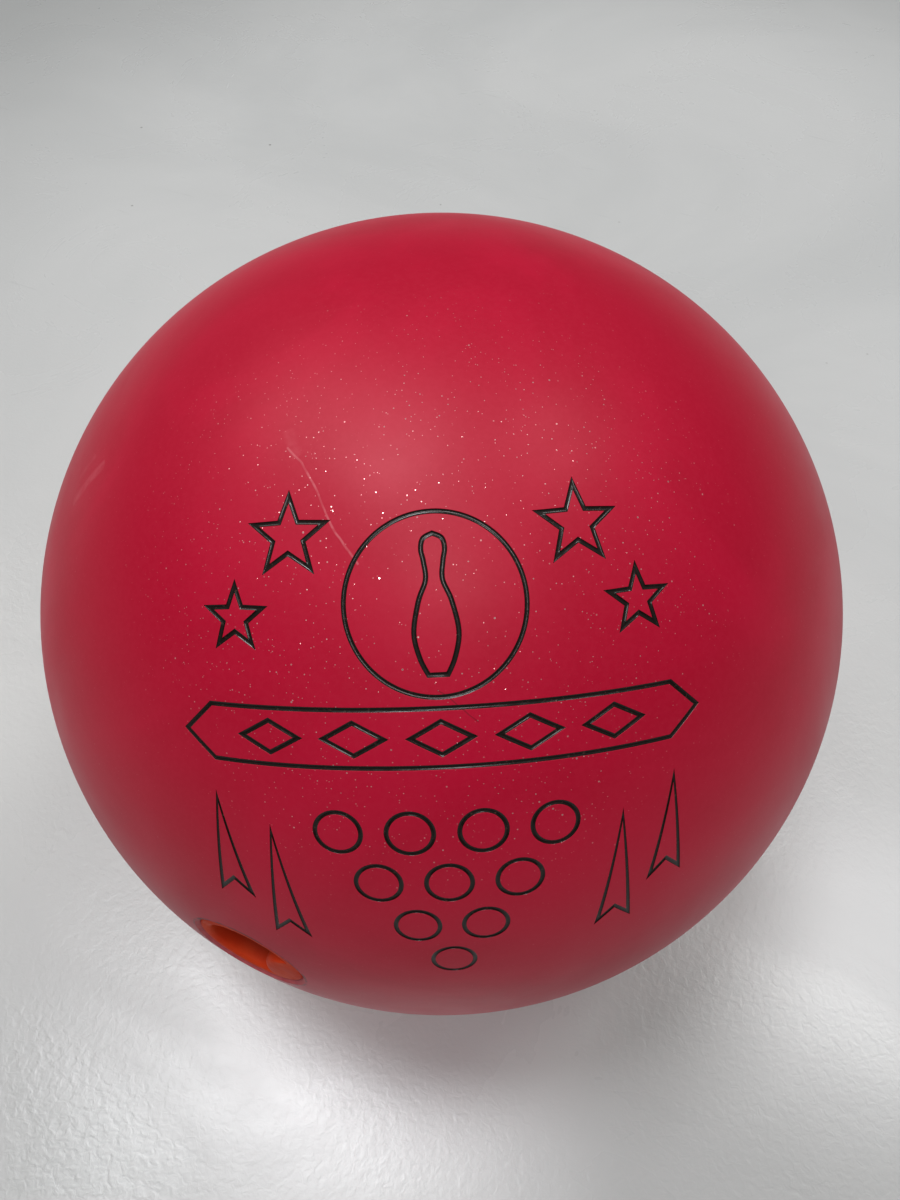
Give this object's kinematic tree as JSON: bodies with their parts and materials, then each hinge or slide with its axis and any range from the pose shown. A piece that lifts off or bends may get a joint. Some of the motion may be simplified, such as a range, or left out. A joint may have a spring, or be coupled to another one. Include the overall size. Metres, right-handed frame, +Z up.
{
  "type": "bowling ball",
  "caption": "Drilled ten-pin bowling ball with soft finger inserts, a thumb slug, a weight block inside and an engraved, enamel-filled emblem.",
  "frame": {"origin": "centre of the ball", "axes": "+Z up with the ball at rest; -Y out of the ring finger hole's side; +X towards the thumb hole's side; the emblem faces up and forward, 23.5 degrees from -Y towards +X"},
  "size_m": [0.216, 0.2155, 0.216],
  "materials": {
    "red_urethane": "satin pearl urethane with fine sparkle",
    "black_enamel": "glossy enamel fill",
    "orange_vinyl": "soft satin vinyl",
    "charcoal_urethane": "satin",
    "filler_resin": "matte, with glass microspheres",
    "core_resin": "matte cast resin",
    "dense_resin": "matte, mineral-filled resin",
    "pin_resin": "satin",
    "marker_paint": "satin"
  },
  "bodies": {
    "root": {"coverstock": "red_urethane", "outer_core": "filler_resin", "weight_block": "core_resin", "weight_block_flange": "dense_resin", "locator_pin": "pin_resin", "thumb_slug": "charcoal_urethane", "ring_finger_insert": "orange_vinyl", "middle_finger_insert": "orange_vinyl", "gravity_marker": "marker_paint", "mass_bias_marker": "marker_paint", "inlay_ring": "black_enamel", "inlay_pin_figure": "black_enamel", "inlay_star_1": "black_enamel", "inlay_star_2": "black_enamel", "inlay_star_3": "black_enamel", "inlay_star_4": "black_enamel", "inlay_banner": "black_enamel", "inlay_diamond_1": "black_enamel", "inlay_diamond_2": "black_enamel", "inlay_diamond_3": "black_enamel", "inlay_diamond_4": "black_enamel", "inlay_diamond_5": "black_enamel", "inlay_rack_01": "black_enamel", "inlay_rack_02": "black_enamel", "inlay_rack_03": "black_enamel", "inlay_rack_04": "black_enamel", "inlay_rack_05": "black_enamel", "inlay_rack_06": "black_enamel", "inlay_rack_07": "black_enamel", "inlay_rack_08": "black_enamel", "inlay_rack_09": "black_enamel", "inlay_rack_10": "black_enamel", "inlay_arrow_1": "black_enamel", "inlay_arrow_2": "black_enamel", "inlay_arrow_3": "black_enamel", "inlay_arrow_4": "black_enamel"}
  },
  "joints": []
}
